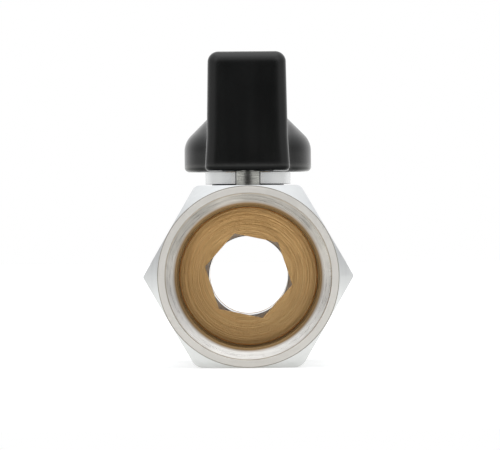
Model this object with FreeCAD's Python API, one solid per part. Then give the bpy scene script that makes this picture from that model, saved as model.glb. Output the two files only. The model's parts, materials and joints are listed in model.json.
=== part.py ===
import FreeCAD, Part
import math
import os

# Mini ball valve. All sizes are in millimetres.
# The pipe axis runs along Y at half the hexagon's height and the stem stands along Z.
# The origin is under the stem, on the flat of the hexagon that the valve rests on.
# The handle points to -Y, which is the open position. A turn to -X closes the valve.

# Pipe threads at both ends, G 1/2
pipe_thread_diameter = 20.955
pipe_thread_pitch = 1.814
pipe_thread_depth = 0.9775
pipe_thread_flank_angle = 27.5
pipe_thread_root_flat = 0.3
pipe_thread_length = 9.4
pipe_thread_start_turn = 20.0
port_mouth_margin = 0.5225
port_mouth_slope = 30.0
port_depth = 11.8
port_wall = 1.5225
relief_groove_count = 2
relief_groove_width = 0.4
relief_groove_depth = 0.4
relief_land_width = 0.5

# Body forging, a hexagon of 24 mm across flats round the ports
body_length = 48.0
end_ring_inset = 0.05
end_ring_length = 0.6
hex_length = 10.4
hex_chamfer_angle = 30.0
hex_side_edge_radius = 0.4
hex_upper_edge_radius = 1.1
hex_lower_edge_radius = 1.8
barrel_diameter = 22.6
stem_pad_diameter = 15.6
stem_pad_width = 12.4
stem_pad_rise = 0.1
collar_diameter = 11.5
collar_height = 1.75
collar_undercut_height = 0.2
collar_undercut_depth = 0.9

# Ball, its chamber and its two seats
flow_bore_diameter = 10.6
ball_chamber_gap = 0.4
ball_slot_floor_wall = 1.2
seat_length = 3.1
seat_bore_clearance = 0.1
seat_ball_clearance = 0.05
seat_wall_clearance = 0.1

# Retainer that screws in from the front and holds the front seat
retainer_entry_clearance = 0.25
retainer_thread_pitch = 1.0
retainer_thread_depth = 0.5
retainer_thread_clearance = 0.05
retainer_chamber_step = 0.85
retainer_sink = 0.2
retainer_face_chamfer = 0.15
retainer_key_size = 10.0
retainer_key_clearance = 0.3
retainer_key_turn = -12.0

# Stem
stem_diameter = 6.0
stem_bore_clearance = 0.05
stem_flange_diameter = 8.4
stem_flange_thickness = 1.15
stem_flange_wall_clearance = 0.1
stem_ball_gap = 0.25
stem_shoulder_height = 3.15
square_across_flats = 4.5
square_length = 3.7
tang_width = 4.0
tang_length = 7.0
tang_side_clearance = 0.05
tang_floor_clearance = 0.15
thrust_washer_thickness = 0.45
thrust_washer_gap = 0.05

# Stem seals
o_ring_section = 0.9
o_ring_bore_clearance = 0.02
o_ring_groove_clearance = 0.01
o_ring_groove_width = 1.15
lower_o_ring_above_pocket = 1.0
upper_o_ring_below_collar = 1.35

# Stop pin, its hole and its groove in the handle
stop_pin_diameter = 3.4
stop_pin_radius_place = 5.6
stop_pin_hole_clearance = 0.01
stop_pin_hole_depth = 1.5
stop_pin_reach = 2.05
stop_pin_chamfer = 0.3
stop_groove_clearance = 0.15
stop_groove_roof_clearance = 0.3
handle_travel = 90.0

# Handle
handle_gap = 0.1
handle_bore_clearance = 0.15
hub_diameter = 17.1
hub_side_height = 4.05
hub_shoulder_angle = 45.0
hub_lower_edge_radius = 0.65
hub_upper_edge_radius = 3.0
hub_shoulder_top_radius = 4.6
grip_height = 15.65
grip_reach = 23.4
grip_foot_width = 11.2
grip_waist_width = 10.65
grip_top_width = 10.25
grip_waist_height = 4.5
grip_edge_radius = 1.4
grip_foot_edge_radius = 0.5
grip_tip_rake = 0.3
screw_pad_height = 10.65
screw_pad_radius = 4.95
grip_ramp_start = 6.2
grip_ramp_end = 14.0
grip_ramp_radius = 4.0
core_slot_width = 2.6
core_slot_length = 10.5
core_slot_depth = 9.5
core_rib_width = 1.6
core_tip_wall = 2.0

# Metal insert, washers and screw that hold the handle on the stem
insert_across_flats = 7.6
insert_height = 3.9
insert_square_clearance = 0.05
screw_recess_diameter = 7.4
screw_diameter = 3.0
screw_length = 6.0
screw_hole_clearance = 0.03
screw_hole_spare_depth = 0.8
screw_head_diameter = 5.6
screw_head_height = 1.9
screw_head_crown = 0.7
screw_cross_width = 0.75
screw_cross_length = 3.2
screw_cross_depth = 1.2
washer_diameter = 6.8
washer_thickness = 0.5
washer_hole_clearance = 0.15
spring_washer_diameter = 5.9
spring_washer_thickness = 0.7
spring_washer_hole_clearance = 0.1
spring_washer_slit = 0.6

# Diameters that follow from the pipe thread inwards and outwards
hex_across_flats = pipe_thread_diameter + 2 * port_wall
port_mouth_diameter = pipe_thread_diameter + 2 * port_mouth_margin
port_bore_diameter = pipe_thread_diameter - 2 * pipe_thread_depth
retainer_thread_diameter = port_bore_diameter - 2 * retainer_entry_clearance
chamber_diameter = retainer_thread_diameter - 2 * retainer_chamber_step
ball_diameter = chamber_diameter - 2 * ball_chamber_gap

# Places along Z, worked out from the sizes
axis_height = hex_across_flats / 2
ball_radius = ball_diameter / 2
flange_bottom = axis_height + ball_radius + stem_ball_gap
flange_top = flange_bottom + stem_flange_thickness
pocket_top = flange_top + thrust_washer_gap + thrust_washer_thickness
pad_top = hex_across_flats + stem_pad_rise
collar_top = pad_top + collar_height
handle_bottom = collar_top + handle_gap
stem_shoulder = handle_bottom + stem_shoulder_height
square_top = stem_shoulder + square_length
insert_top = stem_shoulder + insert_height
screw_seat = insert_top + washer_thickness + spring_washer_thickness
slot_floor = axis_height + flow_bore_diameter / 2 + ball_slot_floor_wall
tang_bottom = slot_floor + tang_floor_clearance
pin_bottom = pad_top - stop_pin_hole_depth
pin_top = handle_bottom + stop_pin_reach
groove_roof = pin_top + stop_groove_roof_clearance
screw_tip = screw_seat - screw_length
screw_hole_bottom = screw_tip - screw_hole_spare_depth

# Places along Y, worked out from the sizes
end_face = body_length / 2
seat_back = ball_radius
port_floor = end_face - port_depth
hex_root = end_face - end_ring_length - hex_length

# Fits, worked out from the sizes
stem_bore_radius = stem_diameter / 2 + stem_bore_clearance
pin_hole_radius = stop_pin_diameter / 2 + stop_pin_hole_clearance
groove_half_width = stop_pin_diameter / 2 + stop_groove_clearance
o_ring_outer_radius = stem_bore_radius - o_ring_bore_clearance
o_ring_centre_radius = o_ring_outer_radius - o_ring_section / 2
o_ring_groove_radius = o_ring_outer_radius - o_ring_section - o_ring_groove_clearance
lower_o_ring_height = pocket_top + lower_o_ring_above_pocket
upper_o_ring_height = collar_top - upper_o_ring_below_collar
screw_hole_radius = screw_diameter / 2 + screw_hole_clearance

X_AXIS = FreeCAD.Vector(1, 0, 0)
Y_AXIS = FreeCAD.Vector(0, 1, 0)
Z_AXIS = FreeCAD.Vector(0, 0, 1)
ORIGIN = FreeCAD.Vector(0, 0, 0)
PIPE_CENTRE = FreeCAD.Vector(0, 0, axis_height)


def rounded_wire(corners):
    """Closed outline through (point, radius) pairs, with an arc at each corner that has a radius."""
    edges = []
    starts = []
    ends = []
    count = len(corners)
    for index, (point, radius) in enumerate(corners):
        before = (corners[index - 1][0] - point).normalize()
        after = (corners[(index + 1) % count][0] - point).normalize()
        if radius <= 0:
            starts.append(point)
            ends.append(point)
            continue
        half_angle = before.getAngle(after) / 2
        set_back = radius / math.tan(half_angle)
        centre = point + (before + after).normalize() * (radius / math.sin(half_angle))
        start = point + before * set_back
        end = point + after * set_back
        middle = centre + (point - centre).normalize() * radius
        starts.append(start)
        ends.append(end)
        edges.append((index, Part.Arc(start, middle, end).toShape()))
    arcs = dict(edges)
    outline = []
    for index in range(count):
        if index in arcs:
            outline.append(arcs[index])
        following = (index + 1) % count
        if (starts[following] - ends[index]).Length > 1e-6:
            outline.append(Part.LineSegment(ends[index], starts[following]).toShape())
    return Part.Wire(outline)


def rounded_prism(corners, direction):
    return Part.Face(rounded_wire(corners)).extrude(direction)


def turned(profile, centre, axis):
    """Solid turned about an axis from a closed profile of (point, radius) pairs."""
    return Part.Face(rounded_wire(profile)).revolve(centre, axis, 360)


def turned_about_pipe(stations):
    """Solid turned about the pipe axis from (y, radius) stations, closed along the axis."""
    points = [FreeCAD.Vector(radius, y, axis_height) for y, radius in stations]
    first = FreeCAD.Vector(0, stations[0][0], axis_height)
    last = FreeCAD.Vector(0, stations[-1][0], axis_height)
    outline = Part.makePolygon([first] + points + [last, first])
    return Part.Face(outline).revolve(PIPE_CENTRE, Y_AXIS, 360)


def upright_cylinder(radius, bottom, top, x=0.0, y=0.0):
    return Part.makeCylinder(radius, top - bottom, FreeCAD.Vector(x, y, bottom))


def centred_box(size_x, size_y, bottom, top, x=0.0, y=0.0):
    corner = FreeCAD.Vector(x - size_x / 2, y - size_y / 2, bottom)
    return Part.makeBox(size_x, size_y, top - bottom, corner)


def regular_prism(across_flats, sides, centre, axis, length, turn=0.0):
    """Prism along Y or Z with its first corner on the +X side, turned about its own axis."""
    corner_radius = across_flats / 2 / math.cos(math.pi / sides)
    second = axis.cross(X_AXIS)
    corners = []
    for index in range(sides):
        angle = math.radians(turn) + 2 * math.pi * index / sides
        offset = X_AXIS * math.cos(angle) + second * math.sin(angle)
        corners.append((centre + offset * corner_radius, 0))
    return rounded_prism(corners, axis * length)


def mirrored_to_rear(shape):
    """Half turn about the stem axis, which carries the front end to the rear end."""
    return shape.rotated(ORIGIN, Z_AXIS, 180)


def hex_end_front():
    """Hexagon at the front end, with its turned ring, chamfers and rounded forging edges."""
    edge_radii = [
        hex_side_edge_radius,
        hex_upper_edge_radius,
        hex_upper_edge_radius,
        hex_side_edge_radius,
        hex_lower_edge_radius,
        hex_lower_edge_radius,
    ]
    corner_radius = hex_across_flats / math.sqrt(3)
    corners = []
    for index, edge_radius in enumerate(edge_radii):
        angle = math.radians(60 * index)
        x = corner_radius * math.cos(angle)
        z = axis_height + corner_radius * math.sin(angle)
        corners.append((FreeCAD.Vector(x, -end_face, z), edge_radius))
    prism = rounded_prism(corners, Y_AXIS * (end_ring_length + hex_length))
    ring_radius = hex_across_flats / 2 - end_ring_inset
    slope = math.tan(math.radians(hex_chamfer_angle))
    chamfer = (corner_radius - ring_radius) * slope
    limit = turned_about_pipe([
        (-end_face, ring_radius),
        (-end_face + end_ring_length, ring_radius),
        (-end_face + end_ring_length + chamfer, corner_radius),
        (-hex_root - chamfer, corner_radius),
        (-hex_root, ring_radius),
    ])
    return prism.common(limit)


def port_stations():
    """Rear port from its floor to its mouth, with plain lands and relief grooves behind the thread."""
    bore_radius = port_bore_diameter / 2
    groove_radius = bore_radius + relief_groove_depth
    stations = [(port_floor, bore_radius)]
    groove_start = port_floor + relief_land_width
    for _ in range(relief_groove_count):
        groove_end = groove_start + relief_groove_width
        stations.append((groove_start, bore_radius))
        stations.append((groove_start, groove_radius))
        stations.append((groove_end, groove_radius))
        stations.append((groove_end, bore_radius))
        groove_start = groove_end + relief_land_width
    mouth_width = (port_mouth_diameter - port_bore_diameter) / 2
    mouth_depth = mouth_width * math.tan(math.radians(port_mouth_slope))
    stations.append((end_face - mouth_depth, bore_radius))
    stations.append((end_face, port_mouth_diameter / 2))
    return stations


def flow_path():
    """Space inside the body: front port, retainer bore, ball chamber, rear bore and rear port."""
    rear_port = port_stations()
    front_port = [(-y, radius) for y, radius in reversed(rear_port)]
    chamber = [
        (-port_floor, retainer_thread_diameter / 2),
        (-seat_back, retainer_thread_diameter / 2),
        (-seat_back, chamber_diameter / 2),
        (seat_back, chamber_diameter / 2),
        (seat_back, flow_bore_diameter / 2),
        (port_floor, flow_bore_diameter / 2),
    ]
    return turned_about_pipe(front_port + chamber + rear_port)


def pipe_thread_front():
    """Helical groove of the right-hand pipe thread, cut from in front of the mouth inwards."""
    root_radius = pipe_thread_diameter / 2
    crest_radius = port_bore_diameter / 2 - pipe_thread_root_flat / 2
    half_root = pipe_thread_root_flat / 2
    half_mouth = half_root + (root_radius - crest_radius) * math.tan(math.radians(pipe_thread_flank_angle))
    length = pipe_thread_length
    section = Part.makePolygon([
        FreeCAD.Vector(crest_radius, 0, -half_mouth),
        FreeCAD.Vector(root_radius, 0, -half_root),
        FreeCAD.Vector(root_radius, 0, half_root),
        FreeCAD.Vector(crest_radius, 0, half_mouth),
        FreeCAD.Vector(crest_radius, 0, -half_mouth),
    ])
    helix = Part.makeHelix(pipe_thread_pitch, length, root_radius)
    groove = Part.Wire(helix).makePipeShell([section], True, True)
    groove.rotate(ORIGIN, Z_AXIS, pipe_thread_start_turn)
    groove.rotate(ORIGIN, X_AXIS, -90)
    start = -end_face - half_mouth
    groove.translate(FreeCAD.Vector(0, start, axis_height))
    return groove


def body():
    """One-piece forged body with the stem pad, the collar, both ports and the ball chamber."""
    front_end = hex_end_front()
    shape = front_end.fuse(mirrored_to_rear(front_end))
    barrel_radius = barrel_diameter / 2
    overlap = hex_length / 2
    barrel = turned_about_pipe([(-hex_root - overlap, barrel_radius), (hex_root + overlap, barrel_radius)])
    undercut_radius = collar_diameter / 2 - collar_undercut_depth
    undercut_top = pad_top + collar_undercut_height
    shape = shape.fuse(barrel)
    pad = upright_cylinder(stem_pad_diameter / 2, axis_height, pad_top)
    shape = shape.fuse(pad.common(centred_box(stem_pad_width, stem_pad_diameter, axis_height, pad_top)))
    shape = shape.fuse(upright_cylinder(undercut_radius, pad_top, undercut_top))
    shape = shape.fuse(upright_cylinder(collar_diameter / 2, undercut_top, collar_top))
    shape = shape.removeSplitter()
    shape = shape.cut(flow_path())
    pocket_radius = stem_flange_diameter / 2 + stem_flange_wall_clearance
    shape = shape.cut(upright_cylinder(pocket_radius, axis_height, pocket_top))
    shape = shape.cut(upright_cylinder(stem_bore_radius, pocket_top, collar_top))
    shape = shape.cut(upright_cylinder(pin_hole_radius, pin_bottom, collar_top, y=-stop_pin_radius_place))
    groove = pipe_thread_front()
    shape = shape.cut(groove)
    return shape.cut(mirrored_to_rear(groove))


def retainer():
    """Threaded ring with a hexagon socket right through it, which is part of the flow path."""
    crest_radius = retainer_thread_diameter / 2 - retainer_thread_clearance
    root_radius = crest_radius - retainer_thread_depth
    front = retainer_sink - port_floor
    length = port_floor - retainer_sink - seat_back
    stations = [(front, crest_radius - retainer_face_chamfer), (front + retainer_face_chamfer, crest_radius)]
    groove_count = int((length - retainer_face_chamfer) / retainer_thread_pitch)
    for index in range(groove_count):
        groove = front + retainer_face_chamfer + retainer_thread_pitch * (index + 0.5)
        stations.append((groove - retainer_thread_pitch * 0.4, crest_radius))
        stations.append((groove, root_radius))
        stations.append((groove + retainer_thread_pitch * 0.4, crest_radius))
    stations.append((-seat_back, crest_radius))
    ring = turned_about_pipe(stations)
    socket_start = FreeCAD.Vector(0, front, axis_height)
    socket = regular_prism(
        retainer_key_size + retainer_key_clearance,
        6,
        socket_start,
        Y_AXIS,
        length,
        -retainer_key_turn,
    )
    return ring.cut(socket)


def ball():
    """Floating ball with its flow bore and the slot across its top for the stem tang."""
    sphere = Part.makeSphere(ball_radius, PIPE_CENTRE)
    bore_start = FreeCAD.Vector(0, -ball_radius, axis_height)
    bore = Part.makeCylinder(flow_bore_diameter / 2, ball_diameter, bore_start, Y_AXIS)
    slot_width = tang_width + 2 * tang_side_clearance
    slot = centred_box(ball_diameter, slot_width, slot_floor, axis_height + ball_diameter)
    return sphere.cut(bore).cut(slot)


def seat_front():
    """Sealing ring with a cup for the ball, against the back of the retainer."""
    outer_radius = chamber_diameter / 2 - seat_wall_clearance
    start = FreeCAD.Vector(0, -seat_back, axis_height)
    ring = Part.makeCylinder(outer_radius, seat_length, start, Y_AXIS)
    bore_radius = flow_bore_diameter / 2 + seat_bore_clearance
    ring = ring.cut(Part.makeCylinder(bore_radius, seat_length, start, Y_AXIS))
    return ring.cut(Part.makeSphere(ball_radius + seat_ball_clearance, PIPE_CENTRE))


def o_ring(height):
    return Part.makeTorus(o_ring_centre_radius, o_ring_section / 2, FreeCAD.Vector(0, 0, height))


def o_ring_groove(height):
    bottom = height - o_ring_groove_width / 2
    top = height + o_ring_groove_width / 2
    outside = upright_cylinder(stem_diameter / 2 + stem_bore_clearance, bottom, top)
    return outside.cut(upright_cylinder(o_ring_groove_radius, bottom, top))


def thrust_washer():
    bottom = flange_top + thrust_washer_gap
    outer = upright_cylinder(stem_flange_diameter / 2, bottom, pocket_top)
    return outer.cut(upright_cylinder(stem_bore_radius, bottom, pocket_top))


def stem():
    """Stem with the tang, the flange, two seal grooves, the handle square and a tapped hole."""
    tang = centred_box(tang_length, tang_width, tang_bottom, flange_bottom)
    shape = tang.fuse(upright_cylinder(stem_flange_diameter / 2, flange_bottom, flange_top))
    shape = shape.fuse(upright_cylinder(stem_diameter / 2, flange_top, stem_shoulder))
    square = centred_box(square_across_flats, square_across_flats, stem_shoulder, square_top)
    square = square.common(upright_cylinder(stem_diameter / 2, stem_shoulder, square_top))
    shape = shape.fuse(square)
    for height in (lower_o_ring_height, upper_o_ring_height):
        shape = shape.cut(o_ring_groove(height))
    return shape.cut(upright_cylinder(screw_hole_radius, screw_hole_bottom, square_top))


def stop_pin():
    radius = stop_pin_diameter / 2
    pin = turned(
        [
            (FreeCAD.Vector(0, 0, pin_bottom), 0),
            (FreeCAD.Vector(radius, 0, pin_bottom), 0),
            (FreeCAD.Vector(radius, 0, pin_top - stop_pin_chamfer), 0),
            (FreeCAD.Vector(radius - stop_pin_chamfer, 0, pin_top), 0),
            (FreeCAD.Vector(0, 0, pin_top), 0),
        ],
        ORIGIN,
        Z_AXIS,
    )
    return pin.translated(FreeCAD.Vector(0, -stop_pin_radius_place, 0))


def hub():
    """Round hub with a rounded lower edge and a sloping shoulder that runs into the grip."""
    radius = hub_diameter / 2
    side_top = handle_bottom + hub_side_height
    slope = math.tan(math.radians(hub_shoulder_angle))
    shoulder_top = side_top + (radius - hub_shoulder_top_radius) * slope
    return turned(
        [
            (FreeCAD.Vector(0, 0, handle_bottom), 0),
            (FreeCAD.Vector(radius, 0, handle_bottom), hub_lower_edge_radius),
            (FreeCAD.Vector(radius, 0, side_top), hub_upper_edge_radius),
            (FreeCAD.Vector(hub_shoulder_top_radius, 0, shoulder_top), 0),
            (FreeCAD.Vector(0, 0, shoulder_top), 0),
        ],
        ORIGIN,
        Z_AXIS,
    )


def sharp_grip():
    """Lever that reaches forward from the stem: what its front, side and plan outlines share."""
    top = handle_bottom + grip_height
    waist = handle_bottom + grip_waist_height
    back = screw_pad_radius
    pad = handle_bottom + screw_pad_height
    front_outline = [
        (FreeCAD.Vector(-grip_foot_width / 2, back, handle_bottom), 0),
        (FreeCAD.Vector(grip_foot_width / 2, back, handle_bottom), 0),
        (FreeCAD.Vector(grip_waist_width / 2, back, waist), 0),
        (FreeCAD.Vector(grip_top_width / 2, back, top), 0),
        (FreeCAD.Vector(-grip_top_width / 2, back, top), 0),
        (FreeCAD.Vector(-grip_waist_width / 2, back, waist), 0),
    ]
    side = -grip_foot_width / 2
    side_outline = [
        (FreeCAD.Vector(side, -grip_reach, handle_bottom), 0),
        (FreeCAD.Vector(side, back, handle_bottom), 0),
        (FreeCAD.Vector(side, back, pad), 0),
        (FreeCAD.Vector(side, -grip_ramp_start, pad), grip_ramp_radius),
        (FreeCAD.Vector(side, -grip_ramp_end, top), grip_ramp_radius),
        (FreeCAD.Vector(side, -grip_reach + grip_tip_rake, top), 0),
    ]
    shape = rounded_prism(front_outline, Y_AXIS * (-grip_reach - back))
    shape = shape.common(rounded_prism(side_outline, X_AXIS * grip_foot_width))
    plan = upright_cylinder(screw_pad_radius, handle_bottom, top)
    plan = plan.fuse(centred_box(grip_foot_width, grip_reach, handle_bottom, top, y=-grip_reach / 2))
    return shape.common(plan)


def grip():
    """Lever with its tip and upper edges rounded to one radius, and its foot to a smaller one."""
    shape = sharp_grip()
    top = handle_bottom + grip_height
    pad = handle_bottom + screw_pad_height
    tip_zone = -grip_reach + 2 * grip_tip_rake
    hub_front = -hub_diameter / 2
    upper_edges = []
    for edge in shape.Edges:
        box = edge.BoundBox
        on_tip = box.YMax < tip_zone and (box.ZLength > grip_edge_radius or box.ZMin > top - 0.01)
        along_side = box.ZMin > pad - 0.01 and box.YMax < 0.01 and box.XLength < box.YLength
        if on_tip or along_side:
            upper_edges.append(edge)
    shape = shape.makeFillet(grip_edge_radius, upper_edges)
    foot_edges = []
    for edge in shape.Edges:
        box = edge.BoundBox
        if box.ZMax < handle_bottom + 0.01 and box.YMin < hub_front:
            foot_edges.append(edge)
    return shape.makeFillet(grip_foot_edge_radius, foot_edges)


def stop_groove():
    """Arc groove under the hub. The stop pin meets one end when open and the other when closed."""
    inner = stop_pin_radius_place - groove_half_width
    outer = stop_pin_radius_place + groove_half_width
    start = FreeCAD.Vector(0, 0, handle_bottom)
    height = groove_roof - handle_bottom
    sector = Part.makeCylinder(outer, height, start, Z_AXIS, handle_travel)
    sector = sector.cut(Part.makeCylinder(inner, height, start, Z_AXIS, handle_travel))
    groove = sector.rotated(ORIGIN, Z_AXIS, -90)
    for angle in (-90.0, -90.0 + handle_travel):
        x = stop_pin_radius_place * math.cos(math.radians(angle))
        y = stop_pin_radius_place * math.sin(math.radians(angle))
        groove = groove.fuse(upright_cylinder(groove_half_width, handle_bottom, groove_roof, x, y))
    return groove.removeSplitter()


def insert_blank():
    centre = FreeCAD.Vector(0, 0, stem_shoulder)
    return regular_prism(insert_across_flats, 6, centre, Z_AXIS, insert_height)


def handle():
    """Moulded lever with its stop groove, insert seat, screw recess and coring slots."""
    shape = hub().fuse(grip()).removeSplitter()
    bore_radius = stem_diameter / 2 + handle_bore_clearance
    shape = shape.cut(upright_cylinder(bore_radius, handle_bottom, stem_shoulder))
    shape = shape.cut(insert_blank())
    pad = handle_bottom + screw_pad_height
    shape = shape.cut(upright_cylinder(screw_recess_diameter / 2, insert_top, pad))
    shape = shape.cut(stop_groove())
    slot_y = -grip_reach + core_tip_wall + core_slot_length / 2
    slot_x = (core_rib_width + core_slot_width) / 2
    slot_top = handle_bottom + core_slot_depth
    for x in (-slot_x, slot_x):
        shape = shape.cut(centred_box(core_slot_width, core_slot_length, handle_bottom, slot_top, x, slot_y))
    return shape


def handle_insert():
    square = square_across_flats + 2 * insert_square_clearance
    return insert_blank().cut(centred_box(square, square, stem_shoulder, insert_top))


def screw_washer():
    top = insert_top + washer_thickness
    outer = upright_cylinder(washer_diameter / 2, insert_top, top)
    return outer.cut(upright_cylinder(screw_diameter / 2 + washer_hole_clearance, insert_top, top))


def spring_washer():
    bottom = insert_top + washer_thickness
    outer_radius = spring_washer_diameter / 2
    hole_radius = screw_diameter / 2 + spring_washer_hole_clearance
    ring = upright_cylinder(outer_radius, bottom, screw_seat)
    ring = ring.cut(upright_cylinder(hole_radius, bottom, screw_seat))
    slit = centred_box(spring_washer_diameter, spring_washer_slit, bottom, screw_seat, x=outer_radius)
    return ring.cut(slit)


def handle_screw():
    """Pan-head screw with a cross recess."""
    head_radius = screw_head_diameter / 2
    head_top = screw_seat + screw_head_height
    head = turned(
        [
            (FreeCAD.Vector(0, 0, screw_seat), 0),
            (FreeCAD.Vector(head_radius, 0, screw_seat), 0),
            (FreeCAD.Vector(head_radius, 0, head_top), screw_head_crown),
            (FreeCAD.Vector(0, 0, head_top), 0),
        ],
        ORIGIN,
        Z_AXIS,
    )
    shape = head.fuse(upright_cylinder(screw_diameter / 2, screw_tip, screw_seat))
    recess_bottom = head_top - screw_cross_depth
    shape = shape.cut(centred_box(screw_cross_length, screw_cross_width, recess_bottom, head_top))
    return shape.cut(centred_box(screw_cross_width, screw_cross_length, recess_bottom, head_top))


def main():
    front_seat = seat_front()
    pieces = {
        "body": body(),
        "retainer": retainer(),
        "ball": ball(),
        "seat_front": front_seat,
        "seat_rear": mirrored_to_rear(front_seat),
        "stem": stem(),
        "thrust_washer": thrust_washer(),
        "stem_o_ring_lower": o_ring(lower_o_ring_height),
        "stem_o_ring_upper": o_ring(upper_o_ring_height),
        "stop_pin": stop_pin(),
        "handle": handle(),
        "handle_insert": handle_insert(),
        "screw_washer": screw_washer(),
        "spring_washer": spring_washer(),
        "handle_screw": handle_screw(),
    }
    os.makedirs("parts", exist_ok=True)
    for name, shape in pieces.items():
        solids = len(shape.Solids)
        print(f"{name}: {solids} solid, valid {shape.isValid()}, {shape.Volume:.1f} mm3")
        shape.exportStep(f"parts/{name}.step")


main()
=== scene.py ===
"""Mini ball valve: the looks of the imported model, its stage and its camera."""

import json
import math

import bpy
from mathutils import Matrix, Vector


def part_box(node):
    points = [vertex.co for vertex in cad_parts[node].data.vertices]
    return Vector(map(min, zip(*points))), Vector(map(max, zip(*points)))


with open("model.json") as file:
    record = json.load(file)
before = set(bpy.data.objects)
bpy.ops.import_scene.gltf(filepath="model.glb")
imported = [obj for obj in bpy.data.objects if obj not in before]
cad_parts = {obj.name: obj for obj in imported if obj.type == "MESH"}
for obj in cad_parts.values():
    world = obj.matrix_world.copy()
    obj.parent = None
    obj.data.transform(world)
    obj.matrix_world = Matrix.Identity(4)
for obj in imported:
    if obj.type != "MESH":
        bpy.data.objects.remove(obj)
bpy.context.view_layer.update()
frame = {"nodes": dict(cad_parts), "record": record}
NODES = frame["nodes"]

bl_info = {
    "name": "Mini ball valve",
    "version": (1, 0, 0),
    "blender": (4, 5, 0),
    "location": "View3D > Sidebar > Valve",
    "description": "Dresses the packed mini ball valve and sets up its studio",
    "category": "Object",
}

MM = 0.001

# Places taken from the frame, in metres
END_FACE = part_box("body")[1].y
HANDLE_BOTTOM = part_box("handle")[0].z
PIN_LOW, PIN_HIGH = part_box("stop_pin")
PORT = next(mount for mount in frame["record"]["mounts"] if mount["name"] == "front_port")
PIPE_HEIGHT = PORT["pos_m"][2]
PORT_RADIUS = PORT["dims"]["r_mm"] * MM
HEX_TOP = 2 * PIPE_HEIGHT

# Edges of the turned faces, as the CAD model has them
MOUTH_RADIUS = PORT_RADIUS + 1.5 * MM
MOUTH_START = END_FACE - (MOUTH_RADIUS - PORT_RADIUS) * math.tan(math.radians(30))
PORT_FLOOR = 12.0 * MM
BORE_START = 8.0 * MM
RING_RADIUS = PIPE_HEIGHT - 0.05 * MM
BRIGHT_FACE_RADIUS = 9.04 * MM
COLLAR_RADIUS = 5.75 * MM
PAD_TOP = HEX_TOP + 0.1 * MM
UNDERCUT_TOP = PAD_TOP + 0.2 * MM

# Marks of the body: dark lines along its edges, a painted shadow line under the collar and round the foot of
# the pad, the turn of the mouth's marks and painted shade over the upper half of the mouth
RING_LINE = (0.36, 0.33, 0.29)
MOUTH_LINE = (0.42, 0.37, 0.31)
SHADOW_LINE = (0.012, 0.012, 0.012)
MOUTH_TURN = 60.0
PAINTED_MOUTH_SHADE = (0.71, 0.70, 0.68)

# Studio, in metres and radians
CAMERA_SIDE = (0.0, -1.0, 0.0)
OPENING_EDGE = math.radians(39)
OPENING_CORE = math.radians(9)
TOP_SOFTBOX = {"place": (0.0, -0.10, 0.75), "size": (0.6, 0.6)}
FRONT_SOFTBOXES = [{"place": (x, -0.42, 0.38), "size": (0.30, 0.25)} for x in (-0.25, 0.25)]
WHITE = (1.0, 1.0, 1.0)
FLOOR_GLOW = (1.0, 0.985, 0.91)
FLOOR_HALF_WIDTH = 2.0
FLOOR_FRONT = -0.25

# Camera, in pixels and millimetres
PICTURE_WIDTH = 500
SENSOR_WIDTH = 36.0


def colour_property(name, description, default):
    """A colour of a material, for the panel."""
    return bpy.props.FloatVectorProperty(name=name, description=description, subtype="COLOR", default=default)


class ValveColours(bpy.types.PropertyGroup):
    """Base colours of the valve's materials."""

    nickel: colour_property("Nickel plating", "Plated forging", (0.74, 0.75, 0.755))
    turned_nickel: colour_property("Turned nickel", "Turned and plated faces", (0.81, 0.785, 0.75))
    brass: colour_property("Brass", "Turned bare brass", (1.0, 0.68, 0.32))
    brass_dark: colour_property("Tarnished brass", "Dull brass in the marks", (0.66, 0.40, 0.165))
    oxide: colour_property("Brown oxide", "Dull brown brass in the port", (0.31, 0.195, 0.088))
    plastic: colour_property("Handle plastic", "Black moulding", (0.0026, 0.0030, 0.0029))
    seat: colour_property("Seat plastic", "White sealing rings", (0.80, 0.80, 0.77))
    rubber: colour_property("Seal rubber", "Black seals", (0.02, 0.02, 0.02))
    chrome: colour_property("Ball plating", "Polished ball", (0.85, 0.86, 0.87))
    pin_steel: colour_property("Pin steel", "Turned stop pin", (0.46, 0.46, 0.43))
    zinc: colour_property("Zinc plating", "Screw and washers", (0.70, 0.71, 0.73))


class ValveStage(bpy.types.PropertyGroup):
    """Camera and light of the studio."""

    scale: bpy.props.FloatProperty(
        name="Scale", description="Pixels for each millimetre at the front face", default=7.63, min=1.0
    )
    distance: bpy.props.FloatProperty(
        name="Distance", description="Camera to front face", default=0.75, unit="LENGTH", min=0.1
    )
    azimuth: bpy.props.FloatProperty(
        name="Azimuth", description="Camera's turn to the right", subtype="ANGLE",
        default=math.radians(0.1),
    )
    roll: bpy.props.FloatProperty(
        name="Roll", description="Camera's turn about its own axis", subtype="ANGLE",
        default=math.radians(-0.45),
    )
    aim_right: bpy.props.FloatProperty(
        name="Aim right", description="Aim point right of the stem", default=0.27 * MM, unit="LENGTH"
    )
    aim_above: bpy.props.FloatProperty(
        name="Aim above", description="Aim point above the pipe axis", default=6.76 * MM, unit="LENGTH"
    )
    tent_level: bpy.props.FloatProperty(
        name="Tent level", description="Brightness of the white tent round the valve", default=0.58, min=0.0
    )
    top_level: bpy.props.FloatProperty(
        name="Top level", description="Brightness of the tent's top", default=1.15, min=0.0
    )
    opening_level: bpy.props.FloatProperty(
        name="Opening level", description="Brightness of the opening for the camera", default=0.12, min=0.0
    )
    softbox_level: bpy.props.FloatProperty(
        name="Softbox level", description="Brightness of the softbox above", default=0.5, min=0.0
    )
    front_level: bpy.props.FloatProperty(
        name="Front level", description="Brightness of the softboxes in front", default=0.3, min=0.0
    )


def add_node(tree, kind, **settings):
    """Adds a node and sets its attributes and its inputs, which are given as {name or index: value}."""
    node = tree.nodes.new(kind)
    inputs = settings.pop("inputs", {})
    for name, value in settings.items():
        setattr(node, name, value)
    for name, value in inputs.items():
        node.inputs[name].default_value = value
    return node


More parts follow.
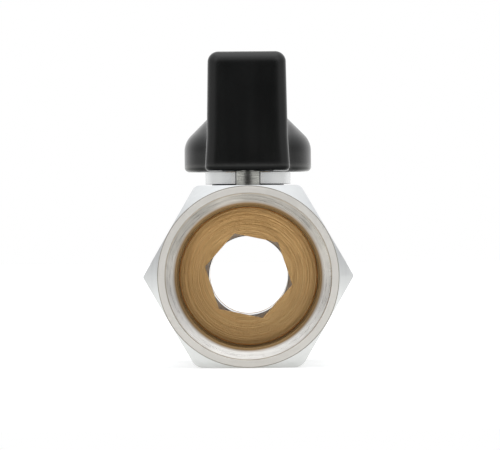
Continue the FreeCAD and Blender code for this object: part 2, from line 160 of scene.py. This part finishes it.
def feed(tree, socket, value):
    """Links a socket's value to an input, or sets a plain one."""
    if isinstance(value, bpy.types.NodeSocket):
        tree.links.new(value, socket)
    elif isinstance(value, (int, float)):
        socket.default_value = value
    else:
        socket.default_value = (*value, 1.0) if len(socket.default_value) == 4 else value


def math_node(tree, operation, first, second=None, third=None):
    """A Math node whose inputs are sockets or numbers. Returns its output socket."""
    node = add_node(tree, "ShaderNodeMath", operation=operation)
    for index, value in enumerate((first, second, third)):
        if value is not None:
            feed(tree, node.inputs[index], value)
    return node.outputs[0]


def product(tree, first, second):
    """First times second."""
    return math_node(tree, "MULTIPLY", first, second)


def total(tree, first, second):
    """First plus second."""
    return math_node(tree, "ADD", first, second)


def less(tree, first, second):
    """First minus second."""
    return math_node(tree, "SUBTRACT", first, second)


def vector_node(tree, operation, first, second=None):
    """A Vector Math node whose inputs are sockets or tuples."""
    node = add_node(tree, "ShaderNodeVectorMath", operation=operation)
    feed(tree, node.inputs[0], first)
    if second is not None:
        feed(tree, node.inputs[1], second)
    return node


def combined(tree, x, y, z):
    """A vector made of three values."""
    node = add_node(tree, "ShaderNodeCombineXYZ")
    for socket, value in zip(node.inputs, (x, y, z)):
        feed(tree, socket, value)
    return node.outputs[0]


def separated(tree, vector):
    """The three values of a vector."""
    node = add_node(tree, "ShaderNodeSeparateXYZ")
    feed(tree, node.inputs[0], vector)
    return tuple(node.outputs)


def ramp(tree, value, from_low, from_high, to_low=0.0, to_high=1.0):
    """A value carried from one range to another, with its ends held. Returns the output socket."""
    node = add_node(tree, "ShaderNodeMapRange")
    for name, number in zip(("Value", "From Min", "From Max", "To Min", "To Max"),
                            (value, from_low, from_high, to_low, to_high)):
        feed(tree, node.inputs[name], number)
    return node.outputs["Result"]


def noise(tree, vector, scale, detail=2.0, roughness=0.5):
    """Smooth noise from 0 to 1. Returns the output socket."""
    node = add_node(tree, "ShaderNodeTexNoise", inputs={"Detail": detail, "Roughness": roughness})
    feed(tree, node.inputs["Vector"], vector)
    feed(tree, node.inputs["Scale"], scale)
    return node.outputs["Fac"]


def colour_mix(tree, factor, first, second, blend_type="MIX"):
    """Mix of two colours, which are sockets or tuples. Returns the colour socket."""
    mix = add_node(tree, "ShaderNodeMix", data_type="RGBA", blend_type=blend_type)
    feed(tree, mix.inputs[0], factor)
    feed(tree, mix.inputs[6], first)
    feed(tree, mix.inputs[7], second)
    return mix.outputs[2]


def value_mix(tree, factor, first, second):
    """Mix of two values. Returns the value socket."""
    mix = add_node(tree, "ShaderNodeMix", data_type="FLOAT")
    for index, value in ((0, factor), (2, first), (3, second)):
        feed(tree, mix.inputs[index], value)
    return mix.outputs[0]


def new_group(name, inputs, outputs):
    """A shader node group with named sockets. Returns the tree and its input and output nodes."""
    tree = bpy.data.node_groups.new(name, "ShaderNodeTree")
    for socket_name, kind, default in inputs:
        socket = tree.interface.new_socket(socket_name, in_out="INPUT", socket_type=kind)
        if default is not None:
            socket.default_value = default
    for socket_name in outputs:
        tree.interface.new_socket(socket_name, in_out="OUTPUT", socket_type="NodeSocketFloat")
    return tree, tree.nodes.new("NodeGroupInput"), tree.nodes.new("NodeGroupOutput")


def length_of(tree, first, second):
    """Distance from an axis, from the two coordinates across it."""
    squares = total(tree, product(tree, first, first), product(tree, second, second))
    return math_node(tree, "SQRT", squares)


def turning_marks_group():
    """Rings left by a lathe about the local Z axis, which fade in and out round the circle."""
    tree, given, result = new_group(
        "turning_marks",
        [
            ("Vector", "NodeSocketVector", None),
            ("Rings", "NodeSocketFloat", 4000.0),
            ("Break", "NodeSocketFloat", 1.2),
        ],
        ["Marks", "Bands"],
    )
    x, y, z = separated(tree, given.outputs["Vector"])
    turn = math_node(tree, "ARCTAN2", y, x)
    around = product(tree, math_node(tree, "SINE", turn), given.outputs["Break"])
    across = product(tree, math_node(tree, "COSINE", turn), given.outputs["Break"])
    along = product(tree, total(tree, length_of(tree, x, y), z), given.outputs["Rings"])
    fine = noise(tree, combined(tree, along, around, across), 1.0, 4.0, 0.75)
    coarse = product(tree, along, 0.11)
    bands = noise(tree, combined(tree, coarse, around, across), 1.0, 3.0, 0.6)
    feed(tree, result.inputs["Marks"], fine)
    feed(tree, result.inputs["Bands"], bands)
    return tree


def surface_grain_group():
    """Fine grain, broad cloudiness and hairline scratches of a handled surface."""
    tree, given, result = new_group(
        "surface_grain",
        [
            ("Vector", "NodeSocketVector", None),
            ("Grain", "NodeSocketFloat", 3000.0),
            ("Cloud", "NodeSocketFloat", 120.0),
        ],
        ["Grain", "Cloud", "Scratches"],
    )
    place = given.outputs["Vector"]
    feed(tree, result.inputs["Grain"], noise(tree, place, given.outputs["Grain"], 4.0, 0.6))
    feed(tree, result.inputs["Cloud"], noise(tree, place, given.outputs["Cloud"], 3.0, 0.5))
    stretched = vector_node(tree, "MULTIPLY", place, (1.0, 0.12, 0.35)).outputs[0]
    lines = noise(tree, stretched, product(tree, given.outputs["Cloud"], 14.0), 3.0, 0.7)
    feed(tree, result.inputs["Scratches"], ramp(tree, lines, 0.60, 0.72))
    return tree


GROUP_BUILDERS = {"turning_marks": turning_marks_group, "surface_grain": surface_grain_group}


def shared_effect(tree, name, vector, **values):
    """Places a shared node group, which is built the first time that a material asks for it."""
    node = add_node(tree, "ShaderNodeGroup")
    node.node_tree = bpy.data.node_groups.get(name) or GROUP_BUILDERS[name]()
    feed(tree, node.inputs["Vector"], vector)
    for input_name, value in values.items():
        node.inputs[input_name].default_value = value
    return node.outputs


def new_material(name, metallic=0.0):
    """A new material. Returns it with its tree, its Principled shader and the object coordinates."""
    material = bpy.data.materials.new(name)
    material.use_nodes = True
    tree = material.node_tree
    shader = tree.nodes["Principled BSDF"]
    shader.inputs["Metallic"].default_value = metallic
    coordinates = add_node(tree, "ShaderNodeTexCoord")
    return material, tree, shader, coordinates.outputs["Object"]


def about_pipe(tree, coordinates):
    """Object coordinates with the pipe axis as the local Z axis."""
    x, y, z = separated(tree, coordinates)
    return combined(tree, x, less(tree, z, PIPE_HEIGHT), y)


def turned_by(tree, vector, degrees):
    """Coordinates turned about the local Z axis."""
    node = add_node(tree, "ShaderNodeVectorRotate", rotation_type="Z_AXIS")
    node.inputs["Angle"].default_value = math.radians(degrees)
    feed(tree, node.inputs["Vector"], vector)
    return node.outputs[0]


def add_bump(tree, shader, height, distance, softened=0.0):
    """Fine relief of a surface, whose edges can be softened over a given radius."""
    bump = add_node(tree, "ShaderNodeBump", inputs={"Strength": 1.0, "Distance": distance})
    feed(tree, bump.inputs["Height"], height)
    if softened:
        soft = add_node(tree, "ShaderNodeBevel", samples=8, inputs={"Radius": softened})
        feed(tree, bump.inputs["Normal"], soft.outputs["Normal"])
    feed(tree, shader.inputs["Normal"], bump.outputs["Normal"])


def scaled(colour, factor):
    """A colour made lighter or darker."""
    return tuple(channel * factor for channel in colour)


def turned_look(tree, vector, colour, dark, rings, broken, shading, softness=0.14):
    """Colour of a lathe-turned face and the marks that shade it. Returns both sockets."""
    marks = shared_effect(tree, "turning_marks", vector, Rings=rings, Break=broken)
    fine = ramp(tree, marks["Marks"], 0.5 - softness, 0.5 + softness)
    bands = ramp(tree, marks["Bands"], 0.40, 0.60)
    depth = product(tree, total(tree, fine, bands), 0.5)
    base = colour_mix(tree, ramp(tree, depth, 0.0, 1.0, 1.0 - shading, 1.0), dark, colour)
    return base, fine


def between(tree, value, low, high, edge=0.02 * MM):
    """Mask of the stretch where a value lies between two others."""
    above = ramp(tree, value, low - edge, low)
    below = ramp(tree, value, high + edge, high)
    return product(tree, above, below)


def body_zones(tree, place):
    """Masks of the body's turned faces, found from the true normal and the distance to its two axes."""
    x, y, z = separated(tree, place)
    pipe_radius = length_of(tree, x, less(tree, z, PIPE_HEIGHT))
    stem_radius = length_of(tree, x, y)
    along = math_node(tree, "ABSOLUTE", y)
    geometry = add_node(tree, "ShaderNodeNewGeometry")
    facing = math_node(tree, "ABSOLUTE", separated(tree, geometry.outputs["True Normal"])[1])

    end_ring = ramp(tree, facing, 0.93, 0.97)
    cone = product(tree, ramp(tree, facing, 0.80, 0.84), ramp(tree, facing, 0.93, 0.90))
    cone = product(tree, cone, ramp(tree, pipe_radius, RING_RADIUS - 0.1 * MM, RING_RADIUS))

    # The plating fades out over the first flank of the thread
    inside_mouth = ramp(tree, pipe_radius, MOUTH_RADIUS + 0.03 * MM, MOUTH_RADIUS + 0.01 * MM)
    plated = ramp(tree, pipe_radius, PORT_RADIUS + 0.13 * MM, PORT_RADIUS + 0.52 * MM)
    plated = product(tree, plated, ramp(tree, along, MOUTH_START - 1.0 * MM, MOUTH_START - 0.8 * MM))
    bare = product(tree, inside_mouth, less(tree, 1.0, plated))

    neck_radius = COLLAR_RADIUS + 0.05 * MM
    near_stem = ramp(tree, stem_radius, neck_radius + 0.02 * MM, neck_radius)
    # The neck under the collar and the foot of the pad are masked for a painted shadow line
    neck = product(tree, near_stem, between(tree, z, HEX_TOP + 0.04 * MM, UNDERCUT_TOP))
    pad_side = between(tree, z, HEX_TOP + 0.01 * MM, PAD_TOP - 0.01 * MM, 0.005 * MM)
    ring_rim = between(tree, pipe_radius, RING_RADIUS - 0.09 * MM, RING_RADIUS)
    return {
        "end_ring": end_ring,
        "cone": cone,
        "mouth": product(tree, inside_mouth, plated),
        "bore": product(tree, bare, ramp(tree, along, BORE_START, BORE_START + 0.1 * MM)),
        "deep": ramp(tree, along, MOUTH_START - 1.2 * MM, MOUTH_START - 3.0 * MM),
        "gap": product(tree, bare, between(tree, along, BORE_START + 0.1 * MM, PORT_FLOOR)),
        "low": ramp(tree, z, PIPE_HEIGHT + 5.0 * MM, PIPE_HEIGHT - 5.0 * MM),
        "collar": product(tree, near_stem, ramp(tree, z, UNDERCUT_TOP, UNDERCUT_TOP + 0.02 * MM)),
        "undercut": math_node(tree, "MAXIMUM", neck, pad_side),
        "ring_edge": product(tree, end_ring, ring_rim),
        "mouth_edge": between(tree, pipe_radius, MOUTH_RADIUS - 0.14 * MM, MOUTH_RADIUS - 0.03 * MM),
    }


def plated_body(colours):
    """Nickel plating over forged flats and turned faces, with bare brass behind the mouths."""
    material, tree, shader, place = new_material("plated_body", 1.0)
    zones = body_zones(tree, place)
    pipe_place = about_pipe(tree, place)
    nickel, turned = colours.nickel, colours.turned_nickel

    grain = shared_effect(tree, "surface_grain", place, Grain=2600.0, Cloud=150.0)
    cone, cone_marks = turned_look(
        tree, pipe_place, scaled(nickel, 1.02), scaled(nickel, 0.88), 3000.0, 0.8, 0.6
    )
    ring, ring_marks = turned_look(tree, pipe_place, turned, scaled(turned, 0.88), 5200.0, 1.5, 0.5)
    mouth, mouth_marks = turned_look(
        tree, turned_by(tree, pipe_place, MOUTH_TURN), scaled(turned, 1.12), scaled(turned, 0.44),
        7500.0, 1.0, 0.9, 0.11
    )
    inside, inside_marks = turned_look(
        tree, pipe_place, colours.oxide, scaled(colours.oxide, 0.6), 4200.0, 1.2, 0.8
    )

    # Painted light and shade: the mouth is painted lighter in its lower half and darker in its upper half
    mouth = colour_mix(tree, product(tree, zones["low"], 0.55), mouth, scaled(turned, 1.12))
    painted_shade_top = product(tree, zones["mouth"], less(tree, 1.0, zones["low"]))
    inside = colour_mix(tree, product(tree, zones["deep"], 0.35), inside, scaled(colours.brass, 0.65))

    base = colour_mix(tree, grain["Cloud"], scaled(nickel, 0.95), scaled(nickel, 1.05))
    base = colour_mix(tree, zones["cone"], base, cone)
    base = colour_mix(tree, zones["end_ring"], base, ring)
    base = colour_mix(tree, zones["mouth"], base, mouth)
    base = colour_mix(tree, painted_shade_top, base, PAINTED_MOUTH_SHADE, "MULTIPLY")
    # Over this go the port's brass, the dark lines along the edges and the painted shadow line under the
    # collar
    for zone, colour in (
        ("bore", inside),
        ("gap", colours.brass),
        ("ring_edge", RING_LINE),
        ("mouth_edge", MOUTH_LINE),
        ("undercut", SHADOW_LINE),
    ):
        base = colour_mix(tree, zones[zone], base, colour)
    feed(tree, shader.inputs["Base Color"], base)
    feed(tree, shader.inputs["Metallic"], ramp(tree, zones["bore"], 0.0, 1.0, 1.0, 0.8))

    rough = ramp(tree, grain["Grain"], 0.2, 0.8, 0.28, 0.44)
    rough = less(tree, rough, product(tree, grain["Scratches"], 0.06))
    for zone, marks, low, high in (
        ("cone", cone_marks, 0.28, 0.42),
        ("end_ring", ring_marks, 0.44, 0.60),
        ("mouth", mouth_marks, 0.24, 0.44),
        ("bore", inside_marks, 0.36, 0.50),
    ):
        rough = value_mix(tree, zones[zone], rough, ramp(tree, marks, 0.0, 1.0, low, high))
    rough = value_mix(tree, zones["collar"], rough, 0.26)
    feed(tree, shader.inputs["Roughness"], rough)

    height = product(tree, grain["Grain"], 1.6)
    for zone, relief in (
        ("cone", cone_marks),
        ("end_ring", ring_marks),
        ("mouth", product(tree, mouth_marks, 2.5)),
        ("collar", 0.0),
    ):
        height = value_mix(tree, zones[zone], height, relief)
    add_bump(tree, shader, height, 0.010 * MM)
    return material


def turned_brass(colours):
    """Bare brass of the retainer: turning marks, painted shade towards the rim and painted light over its
    lower half.
    """
    material, tree, shader, place = new_material("turned_brass", 1.0)
    x, _, z = separated(tree, place)
    pipe_radius = length_of(tree, x, less(tree, z, PIPE_HEIGHT))
    base, marks = turned_look(
        tree, about_pipe(tree, place), colours.brass, colours.brass_dark, 5200.0, 0.8, 0.8, 0.09
    )
    grain = shared_effect(tree, "surface_grain", place, Grain=2500.0, Cloud=260.0)
    tarnish = ramp(tree, grain["Cloud"], 0.35, 0.75, 0.0, 0.15)
    base = colour_mix(tree, tarnish, base, scaled(colours.brass_dark, 1.15))
    # Painted light: the lower half of the face is painted lighter
    painted_light_low = ramp(tree, z, PIPE_HEIGHT + 3.0 * MM, PIPE_HEIGHT - 8.0 * MM, 0.0, 0.7)
    base = colour_mix(tree, painted_light_low, base, colours.brass)
    # Painted shade: the face is painted darker over its outer 0.8 mm, towards the rim
    shade = ramp(tree, pipe_radius, BRIGHT_FACE_RADIUS - 0.8 * MM, BRIGHT_FACE_RADIUS, 0.0, 0.55)
    base = colour_mix(tree, shade, base, scaled(colours.brass_dark, 0.7))
    rim = ramp(tree, pipe_radius, BRIGHT_FACE_RADIUS - 0.03 * MM, BRIGHT_FACE_RADIUS + 0.02 * MM)
    base = colour_mix(tree, rim, base, colours.brass)
    feed(tree, shader.inputs["Base Color"], base)
    feed(tree, shader.inputs["Metallic"], ramp(tree, rim, 0.0, 1.0, 1.0, 0.15))
    feed(tree, shader.inputs["Roughness"], ramp(tree, marks, 0.0, 1.0, 0.40, 0.60))
    add_bump(tree, shader, marks, 0.016 * MM)
    return material


def turned_metal(name, colour, dark, rings, bump, rough_low, rough_high, along_pipe=False):
    """Small turned piece, about the pipe axis or the stem axis."""
    material, tree, shader, place = new_material(name, 1.0)
    vector = about_pipe(tree, place) if along_pipe else place
    base, marks = turned_look(tree, vector, colour, dark, rings, 1.0, 0.5)
    feed(tree, shader.inputs["Base Color"], base)
    feed(tree, shader.inputs["Roughness"], ramp(tree, marks, 0.0, 1.0, rough_low, rough_high))
    add_bump(tree, shader, marks, bump)
    return material


def pin_steel(colours):
    """Turned stop pin with fine level rings on its side and painted shade along its left and right edges."""
    material, tree, shader, place = new_material("pin_steel", 1.0)
    x, y, z = separated(tree, place)
    centre = (PIN_LOW + PIN_HIGH) / 2
    from_centre = less(tree, x, centre.x)
    moved = combined(tree, from_centre, less(tree, y, centre.y), z)
    steel = colours.pin_steel
    base, marks = turned_look(tree, moved, steel, scaled(steel, 0.70), 8000.0, 0.5, 0.6)
    pin_radius = (PIN_HIGH.x - PIN_LOW.x) / 2
    across = math_node(tree, "ABSOLUTE", from_centre)
    # Painted shade: the pin's left and right edges are painted near black, for the shadow in the gaps beside
    # the collar
    edge = ramp(tree, across, pin_radius - 0.22 * MM, pin_radius - 0.10 * MM)
    base = colour_mix(tree, edge, base, (0.03, 0.03, 0.03))
    feed(tree, shader.inputs["Base Color"], base)
    feed(tree, shader.inputs["Roughness"], ramp(tree, marks, 0.0, 1.0, 0.10, 0.22))
    add_bump(tree, shader, marks, 0.006 * MM)
    return material


def soft_material(name, colour, grain_scale, cloud_scale, rough_low, rough_high, shade, bump):
    """Material of the sealing rings, with fine grain and faint unevenness."""
    material, tree, shader, place = new_material(name)
    grain = shared_effect(tree, "surface_grain", place, Grain=grain_scale, Cloud=cloud_scale)
    base = colour_mix(tree, grain["Cloud"], scaled(colour, shade), colour)
    feed(tree, shader.inputs["Base Color"], base)
    feed(tree, shader.inputs["Roughness"], ramp(tree, grain["Grain"], 0.2, 0.8, rough_low, rough_high))
    add_bump(tree, shader, grain["Grain"], bump)
    return material


def black_plastic(colours):
    """Semi-gloss moulded plastic with faint upright streaks and hairline scratches."""
    material, tree, shader, place = new_material("black_plastic")
    grain = shared_effect(tree, "surface_grain", place, Grain=5200.0, Cloud=170.0)
    stretched = vector_node(tree, "MULTIPLY", place, (420.0, 60.0, 45.0)).outputs[0]
    streaks = noise(tree, stretched, 1.0, 3.0, 0.55)
    base = colour_mix(tree, streaks, scaled(colours.plastic, 0.6), scaled(colours.plastic, 1.5))
    feed(tree, shader.inputs["Base Color"], base)
    cloudy = product(tree, total(tree, grain["Cloud"], streaks), 0.5)
    rough = ramp(tree, cloudy, 0.35, 0.65, 0.15, 0.24)
    rough = total(tree, rough, product(tree, grain["Scratches"], 0.03))
    feed(tree, shader.inputs["Roughness"], rough)

    # The lower rim is dull, so that it doesn't mirror the white collar
    height = separated(tree, place)[2]
    rim_top = HANDLE_BOTTOM + 0.7 * MM
    shine = ramp(tree, height, rim_top - 0.3 * MM, rim_top, 0.12, 0.5)
    feed(tree, shader.inputs["Specular IOR Level"], shine)
    relief = total(tree, grain["Grain"], grain["Cloud"])
    add_bump(tree, shader, relief, 0.004 * MM, softened=1.2 * MM)
    return material


def dress(material, *node_names):
    """Gives one material to one or more CAD nodes."""
    for node_name in node_names:
        mesh = NODES[node_name].data
        mesh.materials.clear()
        mesh.materials.append(material)


class VALVE_OT_dress_body(bpy.types.Operator):
    """Dress the forged body in nickel plating"""

    bl_idname = "valve.dress_body"
    bl_label = "Dress body"

    def execute(self, context):
        dress(plated_body(context.scene.valve_colours), "body")
        return {"FINISHED"}


class VALVE_OT_dress_flow_parts(bpy.types.Operator):
    """Dress the retainer, the ball, the two seats and the thrust washer"""

    bl_idname = "valve.dress_flow_parts"
    bl_label = "Dress flow parts"

    def execute(self, context):
        colours = context.scene.valve_colours
        dress(turned_brass(colours), "retainer")
        chrome = colours.chrome
        plating = turned_metal(
            "ball_plating", chrome, scaled(chrome, 0.94), 5000.0, 0.001 * MM, 0.05, 0.12, along_pipe=True
        )
        dress(plating, "ball")
        plastic = soft_material(
            "seat_plastic", colours.seat, 4000.0, 300.0, 0.40, 0.55, shade=0.92, bump=0.008 * MM
        )
        dress(plastic, "seat_front", "seat_rear", "thrust_washer")
        return {"FINISHED"}


class VALVE_OT_dress_stem_parts(bpy.types.Operator):
    """Dress the stem, the handle's insert, the two seals and the stop pin"""

    bl_idname = "valve.dress_stem_parts"
    bl_label = "Dress stem parts"

    def execute(self, context):
        colours = context.scene.valve_colours
        brass = turned_metal(
            "stem_brass", colours.brass, colours.brass_dark, 5000.0, 0.008 * MM, 0.26, 0.4
        )
        dress(brass, "stem", "handle_insert")
        rubber = soft_material(
            "seal_rubber", scaled(colours.rubber, 1.5), 6000.0, 500.0, 0.5, 0.7, shade=0.65, bump=0.01 * MM
        )
        dress(rubber, "stem_o_ring_lower", "stem_o_ring_upper")
        dress(pin_steel(colours), "stop_pin")
        return {"FINISHED"}


class VALVE_OT_dress_handle(bpy.types.Operator):
    """Dress the handle and its screw and washers"""

    bl_idname = "valve.dress_handle"
    bl_label = "Dress handle"

    def execute(self, context):
        colours = context.scene.valve_colours
        dress(black_plastic(colours), "handle")
        zinc = turned_metal(
            "zinc_plating", colours.zinc, scaled(colours.zinc, 0.8), 6000.0, 0.006 * MM, 0.2, 0.34
        )
        dress(zinc, "screw_washer", "spring_washer", "handle_screw")
        return {"FINISHED"}


def studio_world(stage):
    """White tent round the valve, brighter on top, with a dim opening for the camera in front."""
    world = bpy.data.worlds.new("studio")
    bpy.context.scene.world = world
    world.use_nodes = True
    tree = world.node_tree
    direction = add_node(tree, "ShaderNodeTexCoord").outputs["Generated"]
    toward_camera = vector_node(tree, "DOT_PRODUCT", direction, CAMERA_SIDE).outputs["Value"]
    height = separated(tree, direction)[2]
    side = (stage.tent_level,) * 3
    top = (stage.top_level * 0.985, stage.top_level, stage.top_level * 1.01)
    tent = colour_mix(tree, ramp(tree, height, 0.20, 0.90), side, top)
    opening = ramp(tree, toward_camera, math.cos(OPENING_EDGE), math.cos(OPENING_CORE))
    tent = colour_mix(tree, opening, tent, (stage.opening_level,) * 3)
    rays = add_node(tree, "ShaderNodeLightPath").outputs
    mirrored = math_node(tree, "MAXIMUM", rays["Is Glossy Ray"], rays["Is Transmission Ray"])
    backdrop = product(tree, mirrored, ramp(tree, toward_camera, -0.35, -0.75))
    white = math_node(tree, "MAXIMUM", rays["Is Camera Ray"], backdrop)
    background = tree.nodes["Background"]
    feed(tree, background.inputs["Color"], colour_mix(tree, white, tent, WHITE))
    background.inputs["Strength"].default_value = 1.0


def link(item):
    """Puts a new object into the scene."""
    bpy.context.scene.collection.objects.link(item)
    return item


def softbox(name, place, size, level):
    """Area light of a given brightness that points at the middle of the valve."""
    data = bpy.data.lights.new(name, "AREA")
    data.shape = "RECTANGLE"
    data.size, data.size_y = size
    data.energy = level * math.pi * size[0] * size[1]
    lamp = link(bpy.data.objects.new(name, data))
    lamp.location = place
    direction = Vector((0.0, 0.0, PIPE_HEIGHT)) - Vector(place)
    lamp.rotation_euler = direction.to_track_quat("-Z", "Y").to_euler()


def floor_material():
    """White floor that keeps the valve's shadow and looks slightly warm in the metal."""
    material, tree, shader, place = new_material("studio_floor")
    base = colour_mix(tree, noise(tree, place, 60.0), (0.80, 0.80, 0.80), (0.84, 0.84, 0.84))
    feed(tree, shader.inputs["Base Color"], base)
    shader.inputs["Roughness"].default_value = 0.9
    shader.inputs["Specular IOR Level"].default_value = 0.1
    rays = add_node(tree, "ShaderNodeLightPath").outputs
    warm = colour_mix(tree, rays["Is Glossy Ray"], WHITE, FLOOR_GLOW)
    feed(tree, shader.inputs["Emission Color"], warm)
    seen = product(tree, rays["Is Camera Ray"], 0.4)
    mirrored = product(tree, rays["Is Glossy Ray"], 0.42)
    feed(tree, shader.inputs["Emission Strength"], total(tree, seen, mirrored))
    return material


def studio_floor():
    """Floor that ends a little in front of the valve, below the camera's view."""
    mesh = bpy.data.meshes.new("studio_floor")
    half = FLOOR_HALF_WIDTH
    corners = [(-half, FLOOR_FRONT, 0.0), (half, FLOOR_FRONT, 0.0), (half, half, 0.0), (-half, half, 0.0)]
    mesh.from_pydata(corners, [], [(0, 1, 2, 3)])
    mesh.materials.append(floor_material())
    link(bpy.data.objects.new("studio_floor", mesh))


def studio_camera(stage):
    """Long-lens camera that looks along the pipe axis into the front port."""
    data = bpy.data.cameras.new("studio_camera")
    data.sensor_width = SENSOR_WIDTH
    data.lens = SENSOR_WIDTH * stage.scale * stage.distance / MM / PICTURE_WIDTH
    data.clip_start = 0.01
    data.clip_end = 20.0
    camera = link(bpy.data.objects.new("studio_camera", data))
    aim = Vector((stage.aim_right, -END_FACE, PIPE_HEIGHT + stage.aim_above))
    offset = Vector((math.sin(stage.azimuth), -math.cos(stage.azimuth), 0.0)) * stage.distance
    look = (-offset).to_track_quat("-Z", "Y").to_matrix()
    roll = Matrix.Rotation(stage.roll, 3, "Z")
    camera.matrix_world = Matrix.Translation(aim + offset) @ (look @ roll).to_4x4()
    bpy.context.scene.camera = camera


class VALVE_OT_stage(bpy.types.Operator):
    """Set up the floor, the studio light and the camera"""

    bl_idname = "valve.stage"
    bl_label = "Stage"

    def execute(self, context):
        stage = context.scene.valve_stage
        context.scene.view_settings.view_transform = "Standard"
        studio_world(stage)
        softbox("top_softbox", level=stage.softbox_level, **TOP_SOFTBOX)
        for box in FRONT_SOFTBOXES:
            softbox("front_softbox", level=stage.front_level, **box)
        studio_floor()
        studio_camera(stage)
        return {"FINISHED"}


PIECE_OPERATORS = (
    VALVE_OT_dress_body,
    VALVE_OT_dress_flow_parts,
    VALVE_OT_dress_stem_parts,
    VALVE_OT_dress_handle,
    VALVE_OT_stage,
)


class VALVE_PT_panel(bpy.types.Panel):
    """Steps of the valve's looks, in order"""

    bl_idname = "VALVE_PT_panel"
    bl_label = "Mini ball valve"
    bl_space_type = "VIEW_3D"
    bl_region_type = "UI"
    bl_category = "Valve"

    def draw(self, context):
        for operator in PIECE_OPERATORS:
            self.layout.operator(operator.bl_idname)
        for group in (context.scene.valve_colours, context.scene.valve_stage):
            box = self.layout.box()
            for name in group.bl_rna.properties.keys():
                if name not in ("rna_type", "name"):
                    box.prop(group, name)


CLASSES = (ValveColours, ValveStage, *PIECE_OPERATORS, VALVE_PT_panel)


def register():
    for item in CLASSES:
        bpy.utils.register_class(item)
    bpy.types.Scene.valve_colours = bpy.props.PointerProperty(type=ValveColours)
    bpy.types.Scene.valve_stage = bpy.props.PointerProperty(type=ValveStage)


def unregister():
    del bpy.types.Scene.valve_stage
    del bpy.types.Scene.valve_colours
    for item in reversed(CLASSES):
        bpy.utils.unregister_class(item)


def main():
    register()
    bpy.ops.valve.dress_body()
    bpy.ops.valve.dress_flow_parts()
    bpy.ops.valve.dress_stem_parts()
    bpy.ops.valve.dress_handle()
    bpy.ops.valve.stage()


if __name__ == "__main__":
    main()
